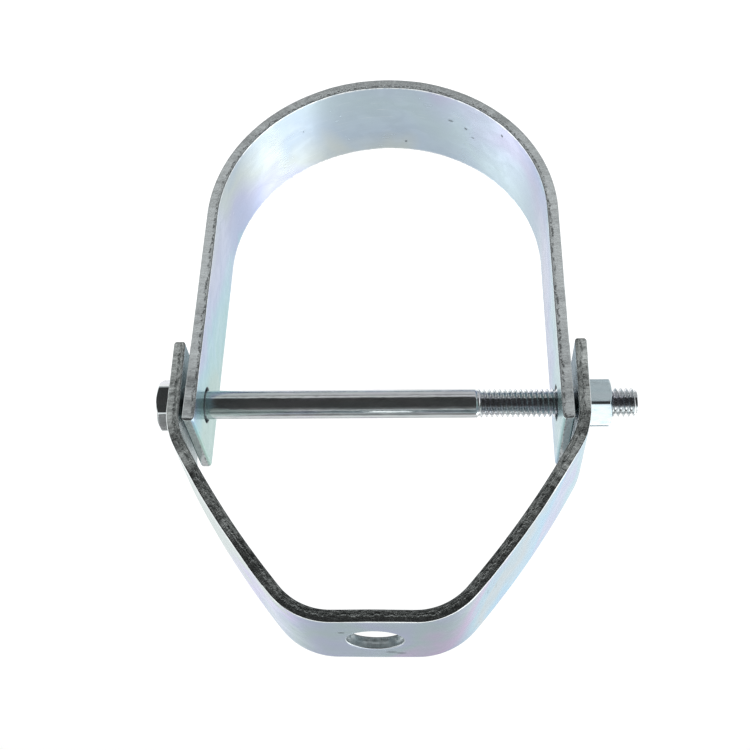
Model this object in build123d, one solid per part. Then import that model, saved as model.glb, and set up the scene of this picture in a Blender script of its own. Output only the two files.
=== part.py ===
from build123d import *
import math
import os

# Adjustable clevis hanger for a horizontal pipe, in millimetres. The frame is the hanger's own as it
# hangs: +Z up the hanger rod, X along the cross bolt with its head at +X, Y along the pipe. The origin
# is the centre of the rod hole at the underside of the yoke's base, where the rod's nut bears.

# Strap that both bent pieces are sheared from
strap_width = 28.6
strap_thickness = 3.18
edge_break = 0.3             # along the sheared edges
hole_break = 0.25            # round the punched holes
end_corner_radius = 0.9      # corners of the sheared ends

# Cradle, the U that carries the pipe
pipe_seat_radius = 46.9
cradle_drop = 53.9           # bolt axis down to the centre of the pipe seat
cradle_flare = 0.8           # lean of each leg away from upright, in degrees
cradle_end_reach = 12.0      # legs past the bolt axis, upwards

# Yoke, the bent strap over the top
rod_hole_diameter = 14.3
yoke_inside_height = 62.8    # bolt axis up to the underside of the base
leg_clearance = 1.25         # each side, between the cradle's leg and the yoke's at the bolt
yoke_end_reach = 12.0        # legs past the bolt axis, downwards
side_bend_height = 13.5      # bolt axis up to the bend where a leg turns in
side_bend_radius = 22.0
base_half_length = 18.3      # middle of the base out to its bend
base_bend_radius = 18.0
side_bow = 1.9               # how far the sloping side stands out from its chord

# Cross bolt and nut
shank_diameter = 7.94
thread_diameter = 7.86       # crests of the rolled thread
thread_length = 43.5
thread_past_nut = 7.2
tip_chamfer = 0.8
hex_across_flats = 12.7
head_height = 5.3
head_turn = 43.0             # degrees from the -Y side up to a corner
nut_height = 6.7
nut_turn = 29.0
hex_chamfer_angle = 30.0
hex_chamfer_share = 0.95     # chamfer's flat circle as a share of the width across flats
bolt_hole_clearance = 0.79   # each side, between the shank and the straps' holes
thread_clearance = 0.05      # each side, between the thread's crests and the nut's bore
bore_countersink = 0.4

HEX_SIDES = 6

# Sizes that follow from the ones above
bolt_axis_z = -yoke_inside_height
bolt_hole_diameter = shank_diameter + 2 * bolt_hole_clearance
cradle_line_radius = pipe_seat_radius + strap_thickness / 2
flare = math.radians(cradle_flare)
cradle_outer_half = (pipe_seat_radius + strap_thickness) / math.cos(flare) + cradle_drop * math.tan(flare)
yoke_inside_half = cradle_outer_half + leg_clearance
yoke_outer_half = yoke_inside_half + strap_thickness
bolt_length = 2 * yoke_outer_half + nut_height + thread_past_nut


def cradle_line():
    """Centre line of the U in its own plane: leg, half-round seat, leg."""
    seat_z = bolt_axis_z - cradle_drop
    seat = CenterArc((0, seat_z), cradle_line_radius, 180 + cradle_flare, 180 - 2 * cradle_flare)
    rise = bolt_axis_z + cradle_end_reach - (seat @ 0).Y
    leg_length = rise / math.cos(flare)
    left_leg = Line(seat @ 0 - leg_length * (seat % 0), seat @ 0)
    right_leg = Line(seat @ 1, seat @ 1 + leg_length * (seat % 1))
    return Wire([left_leg, seat, right_leg])


def yoke_line():
    """Centre line of the yoke in its own plane, from one leg's end over the base to the other's."""
    leg_x = yoke_inside_half + strap_thickness / 2
    leg_end = Vector(leg_x, bolt_axis_z - yoke_end_reach)
    side_foot = Vector(leg_x, bolt_axis_z + side_bend_height)
    side_top = Vector(base_half_length, strap_thickness / 2)
    right = [Line(leg_end, side_foot), SagittaArc(side_foot, side_top, -side_bow)]
    left = [edge.mirror(Plane.YZ) for edge in reversed(right)]
    corners = Wire([*right, Line(side_top, left[0] @ 1), *left])
    base_bent = fillet(corners.vertices().group_by(Axis.Y)[-1], base_bend_radius)
    return fillet(base_bent.vertices().group_by(Axis.Y)[1], side_bend_radius)


def bent_strap(centre_line, punches):
    """Strap along a centre line, sheared square at both ends and punched, with its sharp edges broken."""
    strap = extrude(Plane.XZ * trace(centre_line, strap_thickness), strap_width / 2, both=True)
    ends = (centre_line @ 0, centre_line @ 1)
    corners = [(end.X, side * strap_width / 2, end.Y) for end in ends for side in (-1, 1)]
    strap = fillet([strap.edges().sort_by_distance(corner)[0] for corner in corners], end_corner_radius)
    by_side = strap.edges().group_by(Axis.Y)
    bends = (by_side[0] + by_side[-1]).filter_by(GeomType.CIRCLE)
    strap = chamfer(bends, edge_break)
    punched = strap - punches
    rims = new_edges(strap, *punches, combined=punched).filter_by(GeomType.CIRCLE)
    return chamfer(rims, hole_break)


def leg_punches(leg_x, lean):
    """Bolt holes punched square through a pair of legs that stand leg_x out and lean outward by an angle."""
    punch = Cylinder(bolt_hole_diameter / 2, 2 * strap_thickness)
    return [Pos(side * leg_x, 0, bolt_axis_z) * Rot(0, 90 + side * lean, 0) * punch for side in (-1, 1)]


def upper_yoke():
    """Bent strap with the rod's hole in its base and a bolt hole in each leg."""
    rod_punch = Pos(0, 0, strap_thickness / 2) * Cylinder(rod_hole_diameter / 2, 2 * strap_thickness)
    return bent_strap(yoke_line(), [rod_punch, *leg_punches(yoke_inside_half + strap_thickness / 2, 0)])


def lower_strap():
    """Bent strap that the pipe lies in, with a bolt hole in each leg."""
    leg_x = cradle_line_radius / math.cos(flare) + cradle_drop * math.tan(flare)
    return bent_strap(cradle_line(), leg_punches(leg_x, cradle_flare))


def hexagon(height, turn, seat_bevel):
    """Hexagon standing on its seat, its corners turned to a cone on top and, if asked, below."""
    corner_radius = hex_across_flats / 2 / math.cos(math.pi / HEX_SIDES)
    flat_radius = hex_chamfer_share * hex_across_flats / 2
    bevel = (corner_radius - flat_radius) * math.tan(math.radians(hex_chamfer_angle))
    bar = extrude(RegularPolygon(corner_radius, HEX_SIDES, rotation=turn), height)
    cone_profile = [(corner_radius, height - bevel), (flat_radius, height), (0, height)]
    seat_profile = [(flat_radius, 0), (corner_radius, bevel)] if seat_bevel else [(corner_radius, 0)]
    outline = make_face(Polyline((0, 0), *seat_profile, *cone_profile, close=True))
    return bar & revolve(Plane.XZ * outline, Axis.Z)


def end_plane(side):
    """Plane on a yoke leg's outside, at the bolt axis: side 1 is the head's leg and -1 the nut's."""
    return Plane((side * yoke_outer_half, 0, bolt_axis_z), x_dir=(0, -1, 0), z_dir=(side, 0, 0))


def cross_bolt():
    """Hexagon head bolt, its shank one turned profile from under the head to the tip."""
    shank_radius = shank_diameter / 2
    thread_radius = thread_diameter / 2
    thread_start = thread_length - bolt_length
    profile = Polyline(
        (0, 0),
        (shank_radius, 0),
        (shank_radius, thread_start),
        (thread_radius, thread_start),
        (thread_radius, tip_chamfer - bolt_length),
        (thread_radius - tip_chamfer, -bolt_length),
        (0, -bolt_length),
        close=True,
    )
    shank = revolve(Plane.XZ * make_face(profile), Axis.Z)
    return end_plane(1) * (hexagon(head_height, -head_turn, seat_bevel=False) + shank)


def hex_nut():
    """Plain hexagon nut, chamfered on both faces, its bore countersunk at both ends."""
    bore_radius = thread_diameter / 2 + thread_clearance
    bore = Cylinder(bore_radius, nut_height, align=(Align.CENTER, Align.CENTER, Align.MIN))
    nut = hexagon(nut_height, nut_turn, seat_bevel=True) - bore
    inner_mouth, outer_mouth, *_ = nut.edges().filter_by(GeomType.CIRCLE).sort_by(SortBy.RADIUS)
    return end_plane(-1) * chamfer([inner_mouth, outer_mouth], bore_countersink)


os.makedirs("parts", exist_ok=True)
pieces = {
    "upper_yoke": upper_yoke(),
    "lower_strap": lower_strap(),
    "cross_bolt": cross_bolt(),
    "hex_nut": hex_nut(),
}
for name, piece in pieces.items():
    export_step(piece, f"parts/{name}.step")
    print(f"{name}: {piece.volume / 1000:.2f} cm3")
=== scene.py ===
# %% [markdown]
# A clevis hanger carries a pipe under a ceiling. It is four pieces: a bent strap over the top with a hole
# for the hanging rod, a U-shaped strap that the pipe lies in, and a bolt and nut that pin the two together.
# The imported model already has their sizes, so it is loaded first and never changed. Each of the four solids
# is then replaced by a dressed piece of the same size, because sheared edges, punched rims and threads are
# too fine for the solids.

import math

import bmesh
import bpy
import numpy as np
from mathutils import Matrix, Vector


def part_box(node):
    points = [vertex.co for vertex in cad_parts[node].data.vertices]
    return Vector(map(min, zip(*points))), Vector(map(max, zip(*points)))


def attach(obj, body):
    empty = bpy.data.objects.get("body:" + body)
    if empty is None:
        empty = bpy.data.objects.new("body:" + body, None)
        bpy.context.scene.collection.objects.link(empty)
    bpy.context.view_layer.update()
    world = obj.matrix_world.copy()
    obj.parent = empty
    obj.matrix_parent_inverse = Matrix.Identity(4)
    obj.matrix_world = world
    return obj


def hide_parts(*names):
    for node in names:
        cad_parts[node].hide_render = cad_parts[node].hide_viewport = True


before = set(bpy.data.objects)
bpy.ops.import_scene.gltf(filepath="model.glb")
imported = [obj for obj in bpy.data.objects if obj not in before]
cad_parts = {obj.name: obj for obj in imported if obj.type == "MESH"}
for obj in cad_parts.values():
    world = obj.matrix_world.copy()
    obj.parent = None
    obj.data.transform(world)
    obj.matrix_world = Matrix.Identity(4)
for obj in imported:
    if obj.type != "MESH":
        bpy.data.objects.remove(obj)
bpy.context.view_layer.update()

# %% [markdown]
# Both straps share one width and one thickness, as if cut from the same strip. The sizes are the solids'
# own, turned into metres, and everything below is worked out from them. The frame is the hanger's own: +Z
# goes up the rod, X runs along the bolt and Y along the pipe.

# %% Sizes of the strip and of the two bends
MM = 0.001
strap_half_width = 14.3 * MM
strap_half_thickness = 1.59 * MM
bolt_height = -62.8 * MM

seat_centre = np.array([0, -116.7]) * MM
seat_radius = 46.9 * MM
cradle_flare = math.radians(0.8)
leg_past_bolt = 12 * MM
leg_clearance = 1.25 * MM

bolt_drop = bolt_height - seat_centre[1]
outer_radius = seat_radius + 2 * strap_half_thickness
cradle_outer = outer_radius / math.cos(cradle_flare) + bolt_drop * math.tan(cradle_flare)
yoke_leg_x = cradle_outer + leg_clearance + strap_half_thickness
yoke_outer = yoke_leg_x + strap_half_thickness
yoke_corner = [round(v / MM, 1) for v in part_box("upper_yoke")[1]]
print(f"yoke's legs stand {yoke_leg_x / MM:.2f} mm out, its box ends at {yoke_corner} mm")

# %% [markdown]
# A bent strap is a long ribbon of even thickness. It could be a flat plate run through a bend modifier,
# but a line of straight runs and arcs gives every bend its true radius. Each helper returns points along
# the middle of the strip and the direction that faces out of the bend, half a millimetre apart, so that
# the bends stay round in a close view.

# %% Straight runs and arcs of a strap's middle line
STATION = 0.5 * MM


def straight_run(start, end, outward):
    """Points from start towards end, all facing the same way out."""
    start, end = np.array(start), np.array(end)
    count = math.ceil(np.linalg.norm(end - start) / STATION)
    share = np.linspace(0, 1, count, endpoint=False)[:, None]
    return start + share * (end - start), np.tile(outward, (count, 1))


def arc_run(centre, radius, start, end):
    """Points round a bend, from one angle to another, counted from +X towards +Z."""
    count = math.ceil(abs(end - start) * radius / STATION)
    turn = np.linspace(start, end, count, endpoint=False)
    outward = np.stack([np.cos(turn), np.sin(turn)], axis=1)
    return np.array(centre) + radius * outward, outward


def joined(runs, last_point):
    """One line from several runs, closed off with its last point."""
    points = np.vstack([points for points, outward in runs] + [last_point])
    outward = np.vstack([outward for points, outward in runs] + [runs[-1][1][-1:]])
    along = np.r_[0, np.cumsum(np.linalg.norm(np.diff(points, axis=0), axis=1))]
    return {"points": points, "outward": outward, "along": along}


def fine_ends(line):
    """Extra stations in the last millimetre of both ends, where the shear rounds the strip."""
    extra = np.array([0.03, 0.08, 0.16, 0.26, 0.36, 0.5, 0.7, 0.9, 1.1]) * MM
    along = np.unique(np.r_[line["along"], extra, line["along"][-1] - extra].round(9))
    place = {"along": along}
    for key in ("points", "outward"):
        columns = [np.interp(along, line["along"], line[key][:, axis]) for axis in (0, 1)]
        place[key] = np.stack(columns, axis=1)
    return place


# %% Middle line of the cradle, from its +X leg's end round under the pipe
def cradle_middle_line():
    radius = seat_radius + strap_half_thickness
    left, right = math.pi + cradle_flare, 2 * math.pi - cradle_flare
    seat = arc_run(seat_centre, radius, left, right)
    tangent = np.array([math.sin(cradle_flare), math.cos(cradle_flare)])
    start = seat_centre + radius * np.array([math.cos(left), math.sin(left)])
    finish = seat_centre + radius * np.array([math.cos(right), math.sin(right)])
    leg = (bolt_height + leg_past_bolt - start[1]) / tangent[1]
    left_end = start + leg * tangent * [-1, 1]
    right_end = finish + leg * tangent
    left_leg = straight_run(left_end, start, [math.cos(left), math.sin(left)])
    right_leg = straight_run(finish, right_end, [math.cos(right), math.sin(right)])
    return joined([left_leg, seat, right_leg], right_end)


cradle_line = fine_ends(cradle_middle_line())
print(f"cradle: {len(cradle_line['along'])} stations, {cradle_line['along'][-1] / MM:.1f} mm of strip")

# %% [markdown]
# The yoke's side isn't straight but slightly bowed, perhaps from the press, so it is one long arc between
# the bend at the leg and the bend at the base. Both bends are round, and they touch the long arc from
# inside, which puts their centres at the difference of the two radii from the long arc's centre.

# %% Middle line of the yoke, from the +X leg's end over the base to the other leg
side_bend_radius, base_bend_radius, side_bow = 22 * MM, 18 * MM, 1.9 * MM
side_bend_height, base_half_length = 13.5 * MM, 18.3 * MM
side_foot = np.array([yoke_leg_x, bolt_height + side_bend_height])
side_top = np.array([base_half_length, strap_half_thickness])


def inner_centre(big_centre, big_radius, radius, known, value, near):
    """Centre of a small arc inside a big one, where one of its two coordinates is known."""
    reach = math.sqrt((big_radius - radius) ** 2 - (value - big_centre[known]) ** 2)
    other = 1 - known
    choices = [big_centre[other] - reach, big_centre[other] + reach]
    centre = np.empty(2)
    centre[known] = value
    centre[other] = min(choices, key=lambda choice: abs(choice - near))
    return centre


def yoke_middle_line():
    chord = np.linalg.norm(side_top - side_foot)
    side_radius = (chord ** 2 / 4 + side_bow ** 2) / (2 * side_bow)
    direction = (side_top - side_foot) / chord
    bulge = np.array([direction[1], -direction[0]])
    side_centre = (side_foot + side_top) / 2 - bulge * (side_radius - side_bow)
    leg_bend_x = yoke_leg_x - side_bend_radius
    base_bend_z = strap_half_thickness - base_bend_radius
    leg_bend = inner_centre(side_centre, side_radius, side_bend_radius, 0, leg_bend_x, side_foot[1])
    base_bend = inner_centre(side_centre, side_radius, base_bend_radius, 1, base_bend_z, side_top[0])
    low, high = (math.atan2(*(centre - side_centre)[::-1]) for centre in (leg_bend, base_bend))
    right = [
        straight_run([yoke_leg_x, bolt_height - leg_past_bolt], [yoke_leg_x, leg_bend[1]], [1, 0]),
        arc_run(leg_bend, side_bend_radius, 0, low),
        arc_run(side_centre, side_radius, low, high),
        arc_run(base_bend, base_bend_radius, high, math.pi / 2),
        straight_run([base_bend[0], strap_half_thickness], [0, strap_half_thickness], [0, 1]),
    ]
    half = joined(right, [[0, strap_half_thickness]])
    points = np.vstack([half["points"], (half["points"] * [-1, 1])[-2::-1]])
    outward = np.vstack([half["outward"], (half["outward"] * [-1, 1])[-2::-1]])
    along = np.r_[half["along"], 2 * half["along"][-1] - half["along"][-2::-1]]
    return {"points": points, "outward": outward, "along": along}


yoke_line = fine_ends(yoke_middle_line())
print(f"yoke: {len(yoke_line['along'])} stations, {yoke_line['along'][-1] / MM:.1f} mm of strip")

# %% [markdown]
# Such strip is sheared to width. The blade first rolls the skin over, so one corner of the edge is round,
# and then the steel tears, which leaves a sharp corner on the other face and a rough band between them. A
# bevel modifier would round all corners alike, so the section is written out as a ring of points: a wide
# rolled corner on the outside of the bends and a tight one on the inside.

# %% Section of the strip, its rolled corner in millimetres from where a sharp one would be
BURR_RADIUS = 0.18 * MM
ROLLED_CORNER = [
    (0.0, -0.30), (-0.01, -0.22), (-0.05, -0.15), (-0.22, -0.03), (-0.30, -0.005), (-0.42, 0.0)]
FACE_STEPS, EDGE_STEPS, CORNER_STEPS = 16, 8, 5


def strap_section():
    """Ring of (across, through) points, and how rough the shearing left each of them, from 0 to 1."""
    half = np.array([strap_half_width, strap_half_thickness])
    turn = np.radians(np.linspace(0, -90, CORNER_STEPS + 1))
    burr = np.stack([np.cos(turn) - 1, -1 - np.sin(turn)], axis=1) * BURR_RADIUS * [1, -1]
    rolled = np.array(ROLLED_CORNER) * MM
    corners = [
        half + rolled[::-1],
        half * [1, -1] + burr,
        half * [-1, -1] + (burr * [-1, 1])[::-1],
        half * [-1, 1] + rolled * [-1, 1],
    ]
    ring = []
    for number, corner in enumerate(corners):
        if number:
            steps = EDGE_STEPS if number % 2 else FACE_STEPS
            ring.extend(np.linspace(ring[-1], corner[0], steps + 1)[1:-1])
        ring.extend(corner)
    ring.extend(np.linspace(ring[-1], ring[0], FACE_STEPS + 1)[1:-1])
    ring = np.array(ring)
    torn = np.clip(1 - (strap_half_width - np.abs(ring[:, 0])) / (0.2 * MM), 0, 1)
    return ring, torn


section, torn_share = strap_section()
wide, thick = np.ptp(section, axis=0) / MM
print(f"section: {len(section)} points, {wide:.2f} x {thick:.2f} mm")

# %% [markdown]
# A mesh can be made from plain lists of points and faces. Here a grid of points, one ring for each
# station, is joined into quads, and the two sheared ends are closed with one flat face each. The last few
# rings draw in, which rounds the strip's corners as the shear leaves them. Small seeded noise pushes the
# torn band in and out, so that the edge's outline is uneven when it is seen against the light.

# %% Strap mesh from its middle line and section
END_CORNER, END_ROUND = 0.35 * MM, 1.1 * MM
SWELL, SWELL_REACH = 0.3 * MM, 6 * MM
TORN_SINK, FINE_CHATTER, LONG_CHATTER, TORN_GRAIN = 0.06 * MM, 0.012 * MM, 0.05 * MM, 0.007 * MM
noise = np.random.default_rng(11)


def smooth_noise(count, reach):
    """Random values, evened out over a number of neighbours, with a spread of 1."""
    values = np.convolve(noise.normal(size=count + 2 * reach), np.hanning(reach + 2), "same")[reach:-reach]
    return values / values.std()


def strap_points(line, swell_at=None):
    """Grid of points round the strip; its edges swell out a little beside the rod's hole."""
    end_distance = np.minimum(line["along"], line["along"][-1] - line["along"])
    corner_share = np.clip(1 - end_distance / END_CORNER, 0, 1)
    draw_in = END_CORNER * (1 - np.sqrt(1 - corner_share ** 2))
    end_share = np.clip(1 - end_distance / END_ROUND, 0, 1)
    thin_in = END_ROUND * (1 - np.sqrt(1 - end_share ** 2))
    half = strap_half_width - draw_in[:, None]
    if swell_at is not None:
        half = half + SWELL * np.exp(-((line["along"] - swell_at) / SWELL_REACH) ** 2)[:, None]
    across = section[None, :, 0] * half / strap_half_width
    through = section[None, :, 1] * (1 - thin_in[:, None] / strap_half_thickness)
    stations = len(line["along"])
    for side in (-1, 1):
        chatter = FINE_CHATTER * smooth_noise(stations, 6) + LONG_CHATTER * smooth_noise(stations, 30)
        grain = TORN_GRAIN * noise.normal(size=across.shape)
        band = torn_share * (np.sign(section[:, 0]) == side)
        across = across + side * band * (chatter[:, None] + grain - TORN_SINK)
    middle, outward = line["points"], line["outward"]
    x = middle[:, 0, None] + outward[:, 0, None] * through
    z = middle[:, 1, None] + outward[:, 1, None] * through
    return np.stack([x, across, z], axis=2)


def grid_faces(rows, columns):
    """Quads between neighbouring rings, each ring closed on itself."""
    row, column = np.meshgrid(np.arange(rows - 1), np.arange(columns), indexing="ij")
    here, right = row * columns + column, row * columns + (column + 1) % columns
    return np.stack([here, right, right + columns, here + columns], axis=2).reshape(-1, 4).tolist()


def end_caps(rows, columns):
    """One flat face over the first ring and one over the last."""
    return [list(range(columns))[::-1], list(range((rows - 1) * columns, rows * columns))]


def mesh_piece(name, points, faces):
    """Object from points and faces, its faces turned outward."""
    mesh = bpy.data.meshes.new(name)
    mesh.from_pydata(points.reshape(-1, 3).tolist(), [], faces)
    mesh.update()
    mesh.shade_smooth()
    piece = bpy.data.objects.new(name, mesh)
    bpy.context.scene.collection.objects.link(piece)
    mesh.calc_loop_triangles()
    corners = points.reshape(-1, 3)[np.array([t.vertices[:] for t in mesh.loop_triangles])]
    volume = np.einsum("ij,ij->i", corners[:, 0], np.cross(corners[:, 1], corners[:, 2])).sum() / 6
    if volume < 0:
        mesh.flip_normals()
    print(f"{name}: {len(mesh.polygons)} faces, {abs(volume) * 1e6:.2f} cm3")
    return piece


def strap_piece(name, line, swell_at=None):
    points = strap_points(line, swell_at)
    rows, columns = points.shape[:2]
    return mesh_piece(name, points, grid_faces(rows, columns) + end_caps(rows, columns))


cradle = strap_piece("cradle_strap", cradle_line)
yoke = strap_piece("yoke_strap", yoke_line, swell_at=yoke_line["along"][-1] / 2)

# %% [markdown]
# The holes look punched. A punch rolls the skin over where it enters, cuts a short bright band, and then
# tears the rest of the way through, so a hole's wall is smooth near the outside and ragged near the inside.
# A drill bit's plain cylinder would miss all of that. The tool here is a turned shape with a flared top
# and an uneven lower half, and a boolean takes it out of the strap.

# %% Punches for the bolt holes and the rod hole
ROUND_STEPS = 96
BOLT_HOLE_TEAR, ROD_HOLE_TEAR = 0.035 * MM, 0.10 * MM


def punch_tool(name, centre, direction, hole_radius, tear):
    """Tool for one punched hole: direction points out of the face where the punch goes in.

    Its profile lists heights in the strap, how much wider the hole is there and how ragged.
    """
    rim, top, skin = 0.35 * MM, 3.2 * MM, strap_half_thickness
    turn = np.linspace(0, 2 * math.pi, ROUND_STEPS, endpoint=False)
    ragged = smooth_noise(ROUND_STEPS, 4)
    fine = smooth_noise(ROUND_STEPS, 1)
    profile = [(-top, 0.28 * MM, 0), (-skin - 0.02 * MM, 0.28 * MM, 0.3)]
    profile += [(-skin + 0.12 * MM, 0.14 * MM, 1)]
    profile += [(height * MM, 0.09 * MM, 1) for height in (-1.1, -0.8, -0.5, -0.2)]
    profile += [(0.1 * MM, 0.03 * MM, 0.5), (0.3 * MM, 0, 0), (skin - rim, 0, 0)]
    for degrees in (30, 55, 75):
        lift = math.radians(degrees)
        profile.append((skin - rim + rim * math.sin(lift), rim * (1 - math.cos(lift)), 0))
    profile += [(skin + 0.03 * MM, rim * 0.95, 0), (top, rim, 0)]
    direction = np.array(direction) / np.linalg.norm(direction)
    side = np.cross(direction, [0, 1, 0])
    rings = []
    for height, widening, share in profile:
        wall = ragged + 0.4 * fine * math.cos(height / (0.3 * MM))
        reach = hole_radius + widening + share * tear * wall
        ring = np.outer(reach * np.cos(turn), [0, 1, 0]) + np.outer(reach * np.sin(turn), side)
        rings.append(np.array(centre) + height * direction + ring)
    faces = grid_faces(len(rings), ROUND_STEPS) + end_caps(len(rings), ROUND_STEPS)
    return mesh_piece(name, np.array(rings), faces)


def leg_punches(name, line, hole_radius):
    """A punch through each of a strap's two legs, square to the leg, on the bolt's axis."""
    tools = []
    for side in (1, -1):
        leg = np.where(side * line["points"][:, 0] > 0.8 * cradle_outer)[0]
        station = leg[np.argmin(np.abs(line["points"][leg, 1] - bolt_height))]
        x, outward = line["points"][station, 0], line["outward"][station]
        centre, direction = [x, 0, bolt_height], [outward[0], 0, outward[1]]
        tools.append(punch_tool(f"{name}_{side}", centre, direction, hole_radius, BOLT_HOLE_TEAR))
    return tools


def settle(piece):
    """Make what a piece's modifiers show its own mesh."""
    bpy.context.view_layer.update()
    shown = piece.evaluated_get(bpy.context.evaluated_depsgraph_get())
    piece.data = bpy.data.meshes.new_from_object(shown)
    piece.modifiers.clear()


def punch(piece, tools):
    """Take the tools out of the piece, then scrap them."""
    for tool in tools:
        cut = piece.modifiers.new("punch", "BOOLEAN")
        cut.operation, cut.solver, cut.object = "DIFFERENCE", "MANIFOLD", tool
    settle(piece)
    for tool in tools:
        bpy.data.objects.remove(tool)
    print(f"{piece.name}: punched, {len(piece.data.polygons)} faces")


bolt_hole_radius, rod_hole_radius = 4.76 * MM, 7.15 * MM
punch(cradle, leg_punches("cradle_punch", cradle_line, bolt_hole_radius))
rod_hole_middle = [0, 0, strap_half_thickness]
rod_punch = punch_tool("rod_punch", rod_hole_middle, [0, 0, 1], rod_hole_radius, ROD_HOLE_TEAR)
punch(yoke, leg_punches("yoke_punch", yoke_line, bolt_hole_radius) + [rod_punch])

# %% [markdown]
# The rolled skin, the sheared edge and the punched wall need different finishes, so each face is told
# which one it is. Every point also gets its place on the flat strip, in millimetres: along it, across it
# and through it. The finishes read that place, so that mill streaks follow the bends as they do in steel.
# A weighted normal pass keeps the broad faces flat right up to the small rims.

# %% Lay the strip's own coordinates over each strap and sort its faces
ZINC, SHEARED, PUNCHED = range(3)


def on_strip(line, points):
    """Along, across and through coordinates in millimetres of points near a strap's middle line."""
    places = points[:, [0, 2]]
    flat = np.empty((len(points), 3))
    for first in range(0, len(points), 4000):
        part = places[first:first + 4000]
        station = ((part[:, None] - line["points"]) ** 2).sum(axis=2).argmin(axis=1)
        offset = part - line["points"][station]
        outward = line["outward"][station]
        tangent = np.stack([-outward[:, 1], outward[:, 0]], axis=1)
        flat[first:first + 4000, 0] = line["along"][station] + (offset * tangent).sum(axis=1)
        flat[first:first + 4000, 2] = (offset * outward).sum(axis=1)
    flat[:, 1] = points[:, 1]
    return flat / MM


def sort_strap(piece, line, holes):
    mesh = piece.data
    points = np.array([vertex.co for vertex in mesh.vertices])
    flat = on_strip(line, points)
    mesh.attributes.new("strip", "FLOAT_VECTOR", "POINT").data.foreach_set("vector", flat.ravel())
    centres = np.array([face.center for face in mesh.polygons])
    normals = np.array([face.normal for face in mesh.polygons])
    across = np.abs(centres[:, 1])
    on_edge = (np.abs(normals[:, 1]) > 0.6) & (across > strap_half_width - 0.6 * MM)
    finish = np.where(on_edge, SHEARED, ZINC)
    along = on_strip(line, centres)[:, 0]
    from_end = np.minimum(along, line["along"][-1] / MM - along)
    finish[from_end < 0.1] = SHEARED
    for centre, direction, radius in holes:
        offset = centres - centre
        level = offset @ direction
        reach = np.linalg.norm(offset - level[:, None] * direction, axis=1)
        wall = (reach < radius + 0.4 * MM) & (np.abs(level) < 2 * MM) & (np.abs(normals @ direction) < 0.9)
        finish[wall] = PUNCHED
    mesh.set_sharp_from_angle(angle=math.radians(40))
    weigh = piece.modifiers.new("even", "WEIGHTED_NORMAL")
    weigh.keep_sharp = True
    settle(piece)
    print(f"{piece.name}: {np.bincount(finish)} faces of skin, sheared edge and punched wall")
    return finish.astype(np.int32)


def leg_holes(x, lean):
    """Centre, direction and radius of the bolt hole in each leg."""
    direction = np.array([math.cos(lean), 0, math.sin(lean)])
    holes = []
    for side in (1, -1):
        holes.append((np.array([side * x, 0, bolt_height]), direction * [side, 1, 1], bolt_hole_radius))
    return holes


cradle_leg_x = cradle_outer - strap_half_thickness
cradle_sorted = sort_strap(cradle, cradle_line, leg_holes(cradle_leg_x, -cradle_flare))
rod_hole = (np.array(rod_hole_middle), np.array([0, 0, 1]), rod_hole_radius)
yoke_sorted = sort_strap(yoke, yoke_line, leg_holes(yoke_leg_x, 0) + [rod_hole])

# %% [markdown]
# A bolt like this is cold-headed and its thread is rolled. The thread is a helix, so rows of points that
# simply circle the shank would give a stack of grooves. Here each row climbs by one pitch for each turn,
# and a point at the seam is the same as one a pitch further on. The crests are as wide as the solid's
# thread, the roots go in from there, and the thread fades out where it meets the shank.

# %% Sizes of the bolt and nut
PITCH = 25.4 / 18 * MM
shank_radius, crest_radius = 3.97 * MM, 3.93 * MM
hex_apothem, head_height, nut_height = 6.35 * MM, 5.3 * MM, 6.7 * MM
thread_past_nut, thread_length, tip_radius = 7.2 * MM, 43.5 * MM, 3.0 * MM
bolt_length = 2 * yoke_outer + nut_height + thread_past_nut
thread_start = bolt_length - thread_length
HEAD_TURN, NUT_TURN = 43, 29
SHANK_COLUMNS = 64
THREAD_DEPTH, CREST_HALF, FLANK, RUN_OUT = 0.61343 * PITCH, 0.0625, 0.3542, 1.6 * PITCH
print(f"bolt: {bolt_length / MM:.1f} mm under its head, threaded from {thread_start / MM:.1f} mm on")


def along_bolt(head_side, climb, reach, turn):
    """Points out from a yoke leg's outside face, at a distance from the bolt's axis and an angle."""
    climb, reach, turn = np.broadcast_arrays(climb, reach, turn)
    x = head_side * (yoke_outer + climb)
    return np.stack([x, -reach * np.cos(turn), bolt_height + reach * np.sin(turn)], axis=-1)


def thread_depth(phase):
    """How far below the crest the thread is, at a share of one pitch."""
    from_crest = np.abs((phase + 0.5) % 1 - 0.5)
    return THREAD_DEPTH * np.clip((from_crest - CREST_HALF) / FLANK, 0, 1)


# %% Shank with its rolled thread
def threaded_shank():
    phases = np.array([0, 0.05, 0.085, 0.17, 0.26, 0.35, 0.42, 0.5, 0.58, 0.65, 0.74, 0.83, 0.915, 0.95])
    per_pitch = len(phases)
    turns = math.ceil((bolt_length - thread_start) / PITCH) + 1
    rows = np.arange(-per_pitch, turns * per_pitch)
    climb = thread_start + (rows // per_pitch + phases[rows % per_pitch]) * PITCH
    depth = thread_depth(phases[rows % per_pitch])
    turn = np.linspace(0, 2 * math.pi, SHANK_COLUMNS, endpoint=False)
    height = climb[:, None] + PITCH * turn / (2 * math.pi)
    fade = np.clip((height - thread_start) / RUN_OUT, 0, 1)
    reach = shank_radius + (crest_radius - shank_radius) * np.clip(4 * fade, 0, 1) - depth[:, None] * fade
    reach = np.minimum(reach, tip_radius + (bolt_length - height).clip(0))
    height = height.clip(thread_start, bolt_length)
    thread = along_bolt(1, -height, reach, turn)
    count = SHANK_COLUMNS
    faces = []
    for row in range(len(rows) - per_pitch - 1):
        for column in range(count):
            wraps = column + 1 == count
            right = (row + per_pitch) * count if wraps else row * count + column + 1
            here = row * count + column
            faces.append([here, right, right + count, here + count])
    return thread.reshape(-1, 3), faces


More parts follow.
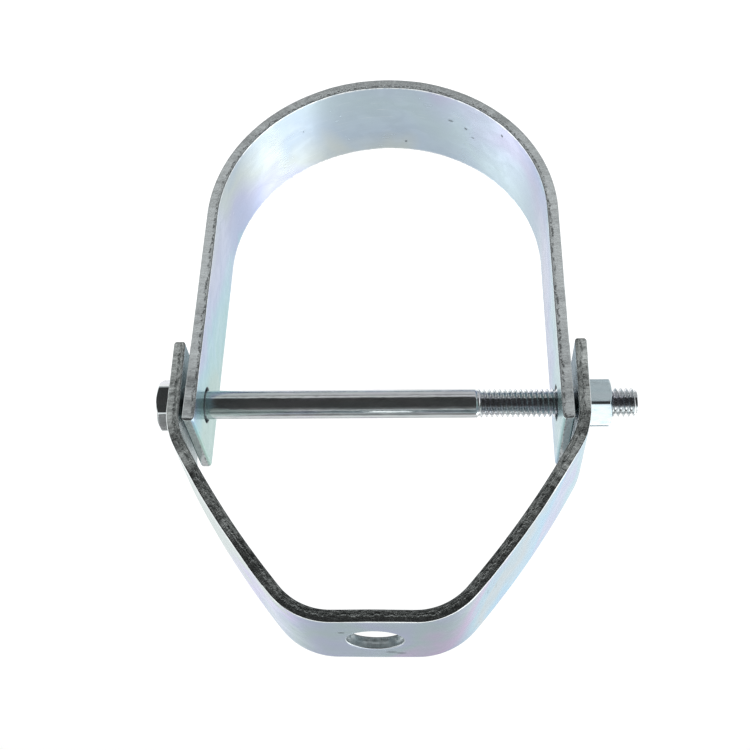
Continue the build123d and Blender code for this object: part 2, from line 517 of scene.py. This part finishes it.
def plain_shank():
    """From inside the head to where the thread starts, with a small round under the head."""
    rows = 60
    levels = [-1.0, 0.0, 0.05, 0.15, 0.3, 0.6] + list(np.linspace(1.5, thread_start / MM, rows))
    flare = [0.35, 0.35, 0.22, 0.1, 0.02, 0] + [0] * rows
    turn = np.linspace(0, 2 * math.pi, SHANK_COLUMNS, endpoint=False)
    levels, flare = np.array(levels)[:, None] * MM, np.array(flare)[:, None] * MM
    shank = along_bolt(1, -levels, shank_radius + flare, turn)
    return shank.reshape(-1, 3), grid_faces(len(levels), SHANK_COLUMNS) + [list(range(SHANK_COLUMNS))]


# %% [markdown]
# A hexagon bar has flats and corners, and the chamfer on its end is a cone of 30 degrees. The cone meets
# the flats in the arched lines that every nut shows. A cylinder of six sides with a bevel can't show them,
# so the head and the nut are polar grids: the reach at each angle comes from the six flats, its corners a
# little round, and the height drops with the distance past the chamfer's flat circle.

# %% Hexagon head and nut
HEX_COLUMNS = 144
CHAMFER_SLOPE = math.tan(math.radians(30))
DISH_DEPTH, METAL_SHARP = 0.12 * MM, math.radians(38)
flat_circle = 0.95 * hex_apothem


def hex_reach(turn, first_corner):
    """Distance from the axis to the hexagon's side at each angle, the corners slightly round."""
    flats = np.radians(first_corner + 30 + 60 * np.arange(6))
    lean = np.clip(np.cos(turn[:, None] - flats), 0, None)
    return hex_apothem / (lean ** 60).sum(axis=1) ** (1 / 60)


def hex_rings(height, first_corner, seat_chamfer, inner):
    """Rings of a hexagon from its end's inner circle, over the chamfer and down the flats to the seat."""
    turn = np.linspace(0, 2 * math.pi, HEX_COLUMNS, endpoint=False)
    reach = hex_reach(turn, first_corner)
    drop = (reach - flat_circle).clip(0) * CHAMFER_SLOPE
    soft = 0.12 * MM
    full = np.ones_like(turn)
    rings = [(full * ring, full * height) for ring in np.linspace(inner, flat_circle - soft, 5)]
    cone = []
    for share in (0.04, 0.3, 0.6, 0.9):
        cone.append((flat_circle + share * (reach - flat_circle), drop * share))
    cone.append((reach - 0.15 * soft, drop + 0.25 * soft))
    rings += [(ring, height - fall) for ring, fall in cone]
    seat = drop if seat_chamfer else full * 0.04 * MM
    low, high = seat + soft, height - drop - soft
    rings += [(reach, high + (low - high) * share) for share in np.linspace(0, 1, 9)]
    if seat_chamfer:
        rings += [(ring, fall) for ring, fall in cone[::-1]]
    else:
        rings += [(reach - 0.3 * soft, seat * 0.5), (reach - soft, seat * 0)]
    rings += [(full * ring, seat * 0) for ring in np.linspace(flat_circle - soft, inner, 4)]
    return turn, rings


def bolt_head():
    turn, rings = hex_rings(head_height, HEAD_TURN, seat_chamfer=False, inner=0.4 * MM)
    points = np.array([along_bolt(1, climb, reach, turn) for reach, climb in rings])
    dish = np.linalg.norm(points[:, :, 1:] - [0, bolt_height], axis=2) / flat_circle
    on_end = points[:, :, 0] > yoke_outer + head_height - 1e-6
    points[:, :, 0] -= np.where(on_end, DISH_DEPTH * (1 - dish.clip(0, 1) ** 4), 0)
    return points.reshape(-1, 3), grid_faces(len(rings), HEX_COLUMNS) + end_caps(len(rings), HEX_COLUMNS)


def weld(parts):
    """Several sets of points and faces as one."""
    points, faces = [], []
    for part_points, part_faces in parts:
        start = sum(len(p) for p in points)
        points.append(part_points)
        faces += [[start + corner for corner in face] for face in part_faces]
    return np.vstack(points), faces


def clean_metal(piece):
    """Merge doubled points, close the thread's end, turn all faces out and mark the sharp edges."""
    work = bmesh.new()
    work.from_mesh(piece.data)
    bmesh.ops.remove_doubles(work, verts=work.verts, dist=0.002 * MM)
    bmesh.ops.dissolve_degenerate(work, edges=work.edges, dist=0.001 * MM)
    bmesh.ops.holes_fill(work, edges=[edge for edge in work.edges if edge.is_boundary])
    bmesh.ops.recalc_face_normals(work, faces=work.faces)
    work.to_mesh(piece.data)
    work.free()
    piece.data.shade_smooth()
    piece.data.set_sharp_from_angle(angle=METAL_SHARP)
    print(f"{piece.name}: {len(piece.data.polygons)} faces")


bolt = mesh_piece("hex_bolt", *weld([plain_shank(), threaded_shank(), bolt_head()]))
clean_metal(bolt)

# %% Nut, with its countersunk bore
BORE_CLEARANCE, COUNTERSINK = 0.05 * MM, 0.4 * MM


def nut_rings():
    bore = crest_radius + BORE_CLEARANCE
    mouth = bore + COUNTERSINK
    turn, rings = hex_rings(nut_height, NUT_TURN, seat_chamfer=True, inner=mouth)
    full = np.ones_like(turn)
    inside = [(mouth - 0.03 * MM, 0.02 * MM), (bore, COUNTERSINK)]
    inside += [(bore, nut_height * share) for share in (0.2, 0.4, 0.6, 0.8)]
    inside += [(bore, nut_height - COUNTERSINK), (mouth - 0.03 * MM, nut_height - 0.02 * MM)]
    return turn, rings + [(full * reach, full * climb) for reach, climb in inside]


def hexagon_nut():
    turn, rings = nut_rings()
    points = np.array([along_bolt(-1, climb, reach, turn) for reach, climb in rings])
    rows = len(rings)
    faces = grid_faces(rows, HEX_COLUMNS)
    last = (rows - 1) * HEX_COLUMNS
    for column in range(HEX_COLUMNS):
        right = (column + 1) % HEX_COLUMNS
        faces.append([last + column, last + right, right, column])
    return points.reshape(-1, 3), faces


nut = mesh_piece("hexagon_nut", *hexagon_nut())
clean_metal(nut)

# %% [markdown]
# The finish looks like zinc plate with a clear passivation. Such a film is thinner than a wavelength of
# light, so it takes on pale interference colours: steel blue, sea green, rose and lavender. A thin-film
# shader would need a map of the film's thickness anyway, so the colours are laid along the strip as a ramp
# that slow noise pushes to and fro. They change along the strap more than across it, perhaps because the
# steel was dipped and hung up to drain.

# %% Helpers for building finishes
def new_finish(name):
    finish = bpy.data.materials.new(name)
    finish.use_nodes = True
    finish.node_tree.nodes.clear()
    return finish


def put(finish, kind, inputs=None, **settings):
    """Add a shader node; an input is either a value or the output socket that feeds it."""
    tree = finish.node_tree
    node = tree.nodes.new("ShaderNode" + kind)
    for setting, value in settings.items():
        setattr(node, setting, value)
    for socket, value in (inputs or {}).items():
        if isinstance(value, bpy.types.NodeSocket):
            tree.links.new(value, node.inputs[socket])
        else:
            node.inputs[socket].default_value = value
    return node


def maths(finish, operation, *values):
    return put(finish, "Math", dict(enumerate(values)), operation=operation).outputs[0]


def times(finish, first, second):
    return maths(finish, "MULTIPLY", first, second)


def times_plus(finish, first, second, third):
    return maths(finish, "MULTIPLY_ADD", first, second, third)


def ramp(finish, factor, stops):
    """Colour ramp through (place, colour) stops; a single number stands for a grey."""
    node = put(finish, "ValToRGB", {"Fac": factor})
    elements = node.color_ramp.elements
    while len(elements) < len(stops):
        elements.new(0.5)
    for element, (place, colour) in zip(elements, stops):
        element.position = place
        element.color = (*colour, 1) if isinstance(colour, tuple) else (colour, colour, colour, 1)
    return node.outputs["Color"]


def span(finish, value, low, high, out_low=0.0, out_high=1.0):
    """Value between low and high as a soft step from out_low to out_high."""
    inputs = {0: value, 1: low, 2: high, 3: out_low, 4: out_high}
    return put(finish, "MapRange", inputs, interpolation_type="SMOOTHSTEP").outputs[0]


def noise_at(finish, place, waves, detail=3, roughness=0.55, distortion=0.0):
    """Noise with its own number of waves per millimetre along, across and through the strip."""
    scaled = put(finish, "VectorMath", {0: place, 1: waves}, operation="MULTIPLY").outputs[0]
    shape = {"Scale": 1.0, "Detail": detail, "Roughness": roughness, "Distortion": distortion}
    return put(finish, "TexNoise", {"Vector": scaled, **shape}).outputs["Fac"]


def tint(finish, factor, first, second, mode="MIX"):
    """Second colour over the first one by a factor, either of them a socket or a colour."""
    node = put(finish, "Mix", data_type="RGBA", blend_type=mode)
    for number, value in ((0, factor), (6, first), (7, second)):
        if isinstance(value, bpy.types.NodeSocket):
            finish.node_tree.links.new(value, node.inputs[number])
        else:
            node.inputs[number].default_value = (*value, 1) if isinstance(value, tuple) else value
    return node.outputs[2]


def spot(finish, strip, centre, size):
    """Soft-edged spot at a place on the strip, 1 in its middle."""
    offset = put(finish, "VectorMath", {0: strip, 1: centre}, operation="SUBTRACT").outputs[0]
    shrink = tuple(1 / reach for reach in size)
    scaled = put(finish, "VectorMath", {0: offset, 1: shrink}, operation="MULTIPLY").outputs[0]
    distance = put(finish, "VectorMath", {0: scaled}, operation="LENGTH").outputs["Value"]
    return span(finish, distance, 0.6, 1.2, 1.0, 0.0)


def metal_out(finish, colour, roughness, height, relief, haze=0.0, grazing=(1.0, 1.0, 1.0)):
    """Metal with bumps, a share of haze, and the colour that it mirrors at a slant."""
    bump = put(finish, "Bump", {"Height": height, "Strength": 1.0, "Distance": relief})
    metal = {"Base Color": colour, "Roughness": roughness, "Normal": bump.outputs[0]}
    metal |= {"Metallic": 1.0 - haze, "Specular Tint": (*grazing, 1)}
    put(finish, "OutputMaterial", {"Surface": put(finish, "BsdfPrincipled", metal).outputs[0]})


# %% [markdown]
# The skin shows more than its film: fine streaks along the strip as a mill leaves them, pale stains as of
# dried drops, and scratches, pits and smudges. All of them are laid over the film's colour. The streaks,
# stains and pits also go into the bumps and the roughness, so that they still show where the colour is lost
# in a reflection. Marks that sit at one place in the photo are spots at that place on the strip.

# %% Plated skin of a strap
def plated_skin(name, length, fan, film_stops, marks, shaded_side):
    finish = new_finish(name)
    strip = put(finish, "Attribute", attribute_name="strip").outputs["Vector"]
    along, across, through = put(finish, "SeparateXYZ", {0: strip}).outputs[:3]
    wander = noise_at(finish, strip, (0.06, 0.04, 0.04), detail=1.5, distortion=0.8)
    wander = times_plus(finish, wander, 0.24, -0.12)
    place = times_plus(finish, along, 1 / length, wander)
    place = times_plus(finish, across, fan, place)
    colour = ramp(finish, place, film_stops)

    streaks = noise_at(finish, strip, (0.015, 1.6, 1.6), detail=5, roughness=0.65)
    colour = tint(finish, 1.0, colour, ramp(finish, streaks, [(0.3, 0.97), (0.7, 1.0)]), "MULTIPLY")
    stains = noise_at(finish, strip, (0.11, 0.2, 0.2), detail=6, roughness=0.62, distortion=0.8)
    stained = ramp(finish, stains, [(0.36, 0.955), (0.44, 0.985), (0.47, 0.96), (0.6, 1.0)])
    colour = tint(finish, 1.0, colour, stained, "MULTIPLY")
    scratches = noise_at(finish, strip, (0.12, 3.4, 3.4), detail=2, roughness=0.4, distortion=0.15)
    scratches = span(finish, scratches, 0.69, 0.74)
    colour = tint(finish, times(finish, scratches, 0.35), colour, (0.72, 0.76, 0.78))

    cells = put(finish, "TexVoronoi", {"Vector": strip, "Scale": 0.3, "Randomness": 1.0})
    chosen = span(finish, put(finish, "SeparateXYZ", {0: cells.outputs["Color"]}).outputs[0], 0.86, 0.9)
    pits = times(finish, chosen, span(finish, cells.outputs["Distance"], 0.05, 0.09, 1.0, 0.0))
    for centre, size, depth in marks:
        mark = times(finish, spot(finish, strip, centre, size), depth)
        pits = maths(finish, "MAXIMUM", pits, mark)
    colour = tint(finish, times(finish, pits, 0.75), colour, (0.10, 0.12, 0.13))

    # Painted shade: the face of the strap that is turned from the light is blended much of the way towards a
    # plain, duller colour. This is the outer face of the cradle and the inner face of the yoke.
    shaded, shade_colour = shaded_side
    in_shade = span(finish, through, -0.5 * shaded, 0.5 * shaded, 0.0, 0.65)
    colour = tint(finish, in_shade, colour, shade_colour)
    # Painted highlight: a thin, broken near-white line runs on the skin beside the burred corner, and a
    # steady one runs on the rolled corner, standing in for the glint these corners catch.
    to_edge = maths(finish, "ABSOLUTE", across)
    broken = noise_at(finish, strip, (0.5, 0.5, 0.1), detail=4, roughness=0.7)
    broken = span(finish, broken, 0.4, 0.56, 0.25, 1.0)
    burr_highlight = span(finish, to_edge, 13.6, 13.85)
    burr_highlight = times(finish, burr_highlight, span(finish, through, 0, -1.0))
    rolled_rim_highlight = span(finish, to_edge, 13.84, 13.96)
    rolled_rim_highlight = times(finish, rolled_rim_highlight, span(finish, through, 0, 1.0))
    rim = maths(finish, "MAXIMUM", times(finish, burr_highlight, broken), rolled_rim_highlight)
    colour = tint(finish, times(finish, rim, 0.85), colour, (0.90, 0.93, 0.93))

    roughness = span(finish, stains, 0.35, 0.65, 0.25, 0.17)
    roughness = times_plus(finish, streaks, 0.04, roughness)
    roughness = times_plus(finish, pits, 0.3, roughness)
    grain = noise_at(finish, strip, (1.6, 2.4, 2.4), detail=3)
    relief = times_plus(finish, streaks, 0.12, stains)
    relief = times_plus(finish, grain, 0.4, relief)
    relief = times_plus(finish, pits, -1.5, relief)
    metal_out(finish, colour, roughness, relief, 0.03 * MM, haze=0.28, grazing=(0.90, 0.96, 1.0))
    return finish


def marks_on(face, origin, direction, places):
    """Marks on one face of a strap, at places counted along it from an origin."""
    return [((origin + direction * way, across, face), size, depth) for way, across, size, depth in places]


cradle_length, yoke_length = (line["along"][-1] / MM for line in (cradle_line, yoke_line))
inner, outer = -1.59, 1.59
cradle_film = [
    (0.00, (0.40, 0.58, 0.58)), (0.08, (0.38, 0.54, 0.64)), (0.17, (0.41, 0.45, 0.64)),
    (0.27, (0.45, 0.46, 0.60)), (0.36, (0.43, 0.51, 0.60)), (0.45, (0.43, 0.53, 0.58)),
    (0.55, (0.42, 0.51, 0.60)), (0.64, (0.50, 0.56, 0.56)), (0.74, (0.46, 0.49, 0.65)),
    (0.82, (0.43, 0.49, 0.68)), (0.88, (0.35, 0.57, 0.66)), (0.94, (0.36, 0.60, 0.61)),
    (1.00, (0.43, 0.60, 0.54))]
cradle_marks = marks_on(inner, cradle_length, -1, [
    (163.6, -3.8, (1.0, 0.45, 0.6), 0.8), (169.0, -2.9, (0.6, 0.45, 0.6), 0.9),
    (171.7, -0.3, (0.7, 0.3, 0.6), 0.6), (183.3, -9.8, (0.5, 0.5, 0.6), 0.9),
    (148.2, 10.2, (0.5, 0.5, 0.6), 0.9)])
cradle_skin = plated_skin(
    "cradle_skin", cradle_length, 0.008, cradle_film, cradle_marks, shaded_side=(1, (0.45, 0.50, 0.52)))
yoke_film = [
    (0.00, (0.44, 0.50, 0.49)), (0.14, (0.46, 0.53, 0.48)), (0.30, (0.46, 0.53, 0.49)),
    (0.345, (0.49, 0.43, 0.68)), (0.385, (0.41, 0.46, 0.60)), (0.44, (0.39, 0.48, 0.50)),
    (0.50, (0.41, 0.45, 0.58)), (0.55, (0.39, 0.48, 0.51)), (0.61, (0.52, 0.42, 0.60)),
    (0.65, (0.35, 0.54, 0.64)), (0.695, (0.46, 0.52, 0.54)), (0.74, (0.31, 0.55, 0.71)),
    (0.79, (0.46, 0.47, 0.65)), (0.85, (0.36, 0.57, 0.64)), (1.00, (0.44, 0.50, 0.58))]
yoke_marks = marks_on(outer, yoke_length / 2, 1, [
    (-8.0, -6.1, (1.0, 0.5, 0.6), 1.0), (3.7, 9.6, (1.6, 1.1, 0.6), 0.7), (6.1, 10.4, (1.5, 0.8, 0.6), 0.8),
    (29.9, -6.8, (0.2, 1.4, 0.6), 0.7), (33.4, -3.6, (0.25, 1.2, 0.6), 0.4)])
yoke_skin = plated_skin(
    "yoke_skin", yoke_length, 0.003, yoke_film, yoke_marks, shaded_side=(-1, (0.37, 0.41, 0.40)))

# %% [markdown]
# A sheared edge has two bands. Beside the outer face the blade slid past and left a fairly even band with
# fine lines across it; beyond that the steel tore, which left a coarse, pitted band. A row of deeper pits
# marks the line between them, near the inner face on the cradle and in the middle on the yoke. Both bands
# look plated, so they are metal too, only rough and broken. A punched wall looks the same but duller, with
# its lines running through the hole.

# %% Sheared edges and punched walls
def torn_steel(name, length, dark, light, relief, grain_waves, row_level, pit_depth, blur=0.0, haze=0.0):
    finish = new_finish(name)
    strip = put(finish, "Attribute", attribute_name="strip").outputs["Vector"]
    along, across, through = put(finish, "SeparateXYZ", {0: strip}).outputs[:3]
    waver = noise_at(finish, strip, (0.3, 0.3, 0.1), detail=5, roughness=0.65)
    level = maths(finish, "ADD", through, times_plus(finish, waver, 2.6, -1.2))
    torn = span(finish, level, row_level - 0.05, row_level + 0.5, 1.0, 0.0)
    grain = noise_at(finish, strip, grain_waves, detail=4, roughness=0.72)
    lines = noise_at(finish, strip, (1.9, 1.9, 0.5), detail=3, roughness=0.65, distortion=0.5)
    coarse = noise_at(finish, strip, (0.9, 0.9, 1.3), detail=3)
    rough_band = times_plus(finish, grain, 0.8, -0.035)
    rough_band = times_plus(finish, coarse, 0.2, rough_band)
    even_band = times_plus(finish, grain, 0.28, 0.175)
    even_band = times_plus(finish, lines, 0.38, even_band)
    height = tint(finish, torn, even_band, rough_band)
    row = maths(finish, "ABSOLUTE", maths(finish, "SUBTRACT", level, row_level))
    beads = noise_at(finish, strip, (1.0, 1.0, 0.8), detail=2, roughness=0.6, distortion=0.6)
    beads = span(finish, beads, 0.47, 0.57)
    pits = times(finish, span(finish, row, 0.05, 0.45, 1.0, 0.0), beads)
    # Painted light on the edge: a pale line beside the outer face is a painted highlight of the rolled
    # corner, and a dark line beside the inner face is painted shade at the burr.
    outer_rim_highlight = span(finish, through, 1.36, 1.5)
    inner_rim_shade = span(finish, through, -1.2, -1.38)
    # Painted shadow: a broken near-black line runs across the edge about half a millimetre from each sheared
    # end, where the corner turns.
    from_end = maths(finish, "MINIMUM", along, maths(finish, "SUBTRACT", length, along))
    cut_line = maths(finish, "ABSOLUTE", maths(finish, "SUBTRACT", from_end, 0.42))
    end_shadow_line = span(finish, cut_line, 0.1, 0.3, 1.0, 0.0)
    end_shadow_line = times(finish, end_shadow_line, span(finish, waver, 0.45, 0.55))
    middle_tone = tuple((a + b) / 2 for a, b in zip(dark, light))
    colour = ramp(finish, height, [(0.38, dark), (0.49, middle_tone), (0.60, light)])
    colour = tint(finish, times(finish, pits, pit_depth), colour, (0.05, 0.055, 0.055))
    colour = tint(finish, times(finish, inner_rim_shade, 0.6), colour, (0.10, 0.11, 0.115))
    colour = tint(finish, times(finish, outer_rim_highlight, 0.6), colour, (0.80, 0.84, 0.85))
    colour = tint(finish, times(finish, end_shadow_line, 0.8), colour, (0.05, 0.055, 0.055))
    even_roughness = span(finish, grain, 0.3, 0.7, 0.12, 0.20)
    torn_roughness = span(finish, grain, 0.3, 0.7, 0.18, 0.30)
    roughness = tint(finish, torn, even_roughness, torn_roughness)
    roughness = maths(finish, "ADD", roughness, blur)
    height = times_plus(finish, pits, -0.6, height)
    metal_out(finish, colour, roughness, height, relief, haze=haze)
    return finish


cradle_edge = torn_steel(
    "cradle_edge", cradle_length, dark=(0.36, 0.39, 0.395), light=(0.60, 0.64, 0.65), relief=0.05 * MM,
    grain_waves=(1.1, 1.6, 1.9), row_level=-0.8, pit_depth=0.75, haze=0.15)
yoke_edge = torn_steel(
    "yoke_edge", yoke_length, dark=(0.17, 0.19, 0.185), light=(0.66, 0.70, 0.69), relief=0.05 * MM,
    grain_waves=(0.6, 1.6, 2.6), row_level=-0.15, pit_depth=0.6)
wall_finish = torn_steel(
    "punched_wall", yoke_length, dark=(0.36, 0.41, 0.43), light=(0.54, 0.61, 0.63), relief=0.03 * MM,
    grain_waves=(1.6, 1.6, 0.6), row_level=-0.8, pit_depth=0.3, blur=0.22)


# %% Bright plate of the bolt and nut
def bright_plate(name, film_stops, relief_height):
    finish = new_finish(name)
    metres = put(finish, "TexCoord").outputs["Object"]
    place = put(finish, "VectorMath", {0: metres, 1: (1 / MM,) * 3}, operation="MULTIPLY").outputs[0]
    drift = noise_at(finish, place, (0.05, 0.2, 0.2), detail=3, distortion=0.5)
    film = ramp(finish, drift, film_stops)
    mottle = noise_at(finish, place, (0.25, 0.6, 0.6), detail=5, roughness=0.6)
    colour = tint(finish, 1.0, film, ramp(finish, mottle, [(0.32, 0.86), (0.6, 1.0)]), "MULTIPLY")
    dents = noise_at(finish, place, (0.35, 0.7, 0.7), detail=3, roughness=0.5)
    roughness = span(finish, mottle, 0.3, 0.7, 0.10, 0.20)
    relief = times_plus(finish, mottle, 0.25, dents)
    metal_out(finish, colour, roughness, relief, relief_height, haze=0.02)
    return finish


bolt_film = [(0.34, (0.58, 0.64, 0.65)), (0.5, (0.64, 0.67, 0.68)), (0.66, (0.64, 0.65, 0.70))]
nut_film = [(0.34, (0.52, 0.63, 0.68)), (0.5, (0.55, 0.65, 0.69)), (0.66, (0.58, 0.64, 0.70))]
bolt_plate = bright_plate("bolt_plate", bolt_film, relief_height=0.04 * MM)
nut_plate = bright_plate("nut_plate", nut_film, relief_height=0.015 * MM)
for strap, skin, edge_finish, finish_of_face in (
    (cradle, cradle_skin, cradle_edge, cradle_sorted),
    (yoke, yoke_skin, yoke_edge, yoke_sorted),
):
    strap.data.materials.clear()
    for finish in (skin, edge_finish, wall_finish):
        strap.data.materials.append(finish)
    strap.data.polygons.foreach_set("material_index", finish_of_face)
bolt.data.materials.append(bolt_plate)
nut.data.materials.append(nut_plate)
print("finishes:", sorted(finish.name for finish in bpy.data.materials if finish.users))

# %% [markdown]
# Each dressed piece stands for one solid and rides on that solid's body, so the cradle swings, the bolt
# turns and the nut runs out along the thread with the joints of the model.

# %% Tie the pieces to the frame
for piece, node, body, slot in [
    (yoke, "upper_yoke", "yoke", "zinc_strap"),
    (cradle, "lower_strap", "cradle", "zinc_strap"),
    (bolt, "cross_bolt", "bolt", "zinc_fastener"),
    (nut, "hex_nut", "nut", "zinc_fastener"),
]:
    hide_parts(node)
    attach(piece, body)
    print(f"{piece.name} stands for {node} on {body}")

# %% [markdown]
# Bright metal shows the room round it more than its own colour, so the room is what has to be right. The
# photo looks as if it was taken in a white one with something dark overhead, such as the ceiling and the
# camera: the middle of the bolt and the edges of the yoke mirror it, and further from it the edges of the
# cradle turn mid-grey. Something bright to one side, here called a window, lights a patch inside the
# cradle's bend. Cards on stands could do all this, but they would get in the way of other views, so the
# room is painted into the world and only reflections see it. The eye sees plain white, and the light that
# falls on the hanger is an even, slightly dimmer white.

# %% Room that the metal mirrors
PLAIN_LIGHT, SIDE_WALLS, WINDOW, FAR_WALL = 0.75, 1.35, 1.5, 0.9
BRIGHTNESS_OVER_BOLT = [
    (-180, 1.08), (-165, 1.1), (-150, 1.02), (-120, 1.15), (-98, 1.0), (-84, 0.62), (-60, 0.70),
    (-50, 0.58), (-44, 0.20), (-39.5, 0.62), (-35.5, 1.22), (-31.5, 0.34), (-28.8, 1.15), (-26.3, 0.12),
    (-24.5, 0.05), (-11, 0.04), (48, 0.04), (64, 0.15), (73, 0.40), (82, 1.5), (98, 1.6), (108, 0.5),
    (118, 0.2), (126, 0.38), (137, 1.02), (150, 0.95), (164, 0.54), (172, 0.85), (180, 1.08)]


def white_room():
    world = bpy.data.worlds.new("white_room")
    bpy.context.scene.world = world
    world.use_nodes = True
    world.node_tree.nodes.clear()
    x, y, z = put(world, "SeparateXYZ", {0: put(world, "TexCoord").outputs["Generated"]}).outputs[:3]

    def round_circle(angle, stops):
        """Brightness by angle in degrees round a circle, up to 2."""
        share = times_plus(world, angle, 1 / (2 * math.pi), 0.5)
        level = ramp(world, share, [(degrees / 360 + 0.5, value / 2) for degrees, value in stops])
        return times(world, level, 2.0)

    over_bolt = maths(world, "ARCTAN2", z, times(world, y, -1.0))
    mirrored = round_circle(over_bolt, BRIGHTNESS_OVER_BOLT)
    bearing = maths(world, "ARCTAN2", x, y)
    degree = math.pi / 180
    window = span(world, bearing, -31.5 * degree, -34.5 * degree)
    window = times(world, window, span(world, z, -0.32, 0.1))
    window = times(world, window, span(world, bearing, -80 * degree, -60 * degree))
    mirrored = times_plus(world, window, WINDOW, mirrored)
    far_wall = span(world, bearing, 33 * degree, 39 * degree)
    far_wall = times(world, far_wall, span(world, bearing, 53 * degree, 46 * degree))
    mirrored = times_plus(world, far_wall, FAR_WALL, mirrored)
    to_side = span(world, maths(world, "ABSOLUTE", x), 0.8, 0.97)
    mirrored = put(world, "Mix", {0: to_side, 2: mirrored, 3: SIDE_WALLS}).outputs[0]

    path = put(world, "LightPath").outputs
    looks_through = maths(world, "MAXIMUM", path["Is Camera Ray"], path["Is Transmission Ray"])
    plain = span(world, looks_through, 0, 1, PLAIN_LIGHT, 1.0)
    strength = put(world, "Mix", {0: path["Is Glossy Ray"], 2: plain, 3: mirrored}).outputs[0]
    background = put(world, "Background", {"Color": (1, 1, 1, 1), "Strength": strength})
    put(world, "OutputWorld", {"Surface": background.outputs[0]})


white_room()
middle = Vector((0, 0, -0.08))
for side in (1, -1):
    lamp = bpy.data.lights.new(f"soft_lamp_{side}", "AREA")
    lamp.size, lamp.energy = 0.5, 3.0
    soft = bpy.data.objects.new(lamp.name, lamp)
    soft.location = (side * 0.6, -0.3, 0.5)
    soft.rotation_euler = (middle - soft.location).to_track_quat("-Z", "Y").to_euler()
    soft.visible_glossy = False
    bpy.context.scene.collection.objects.link(soft)
print("lamps:", [lamp.name for lamp in bpy.data.lights])

# %% [markdown]
# The photo's background is plain white. The hanger is shown as it hangs, so the floor lies a little below
# the cradle; it is white to the eye and keeps the soft shadow of the hanger.

# %% Floor
FLOOR_LEVEL, FLOOR_REACH, FLOOR_LIFT = -0.225, 3.0, 0.36


def white_floor():
    mesh = bpy.data.meshes.new("floor")
    corners = [(-1, -1), (1, -1), (1, 1), (-1, 1)]
    points = [(x * FLOOR_REACH, y * FLOOR_REACH, FLOOR_LEVEL) for x, y in corners]
    mesh.from_pydata(points, [], [(0, 1, 2, 3)])
    floor = bpy.data.objects.new("floor", mesh)
    bpy.context.scene.collection.objects.link(floor)
    finish = new_finish("white_floor")
    is_seen = put(finish, "LightPath").outputs["Is Camera Ray"]
    seen = times(finish, is_seen, FLOOR_LIFT)
    lift = put(finish, "Emission", {"Color": (1, 1, 1, 1), "Strength": seen})
    matt = put(finish, "BsdfDiffuse", {"Color": (0.8, 0.8, 0.8, 1)})
    surface = put(finish, "AddShader", {0: lift.outputs[0], 1: matt.outputs[0]})
    put(finish, "OutputMaterial", {"Surface": surface.outputs[0]})
    mesh.materials.append(finish)
    floor.visible_glossy = False


white_floor()

# %% [markdown]
# The photo looks down at the hanger from the front, with the hanger's foot turned to the top of the
# picture. The camera's place, angles and lens were found by matching the outlines of the two straps, so
# the picture's perspective comes close to the photo's.

# %% Camera
camera_data = bpy.data.cameras.new("camera")
camera_data.lens, camera_data.sensor_width = 58.79, 36
camera_data.clip_start = 0.01
camera = bpy.data.objects.new("camera", camera_data)
camera.location = (-0.01757, -0.29504, 0.09332)
camera.rotation_euler = [math.radians(angle) for angle in (-60.8011, 1.1863, 176.9414)]
bpy.context.scene.collection.objects.link(camera)
bpy.context.scene.camera = camera
bpy.context.scene.view_settings.view_transform = "Standard"
print(f"camera: {camera.location.length:.3f} m from the rod's hole")
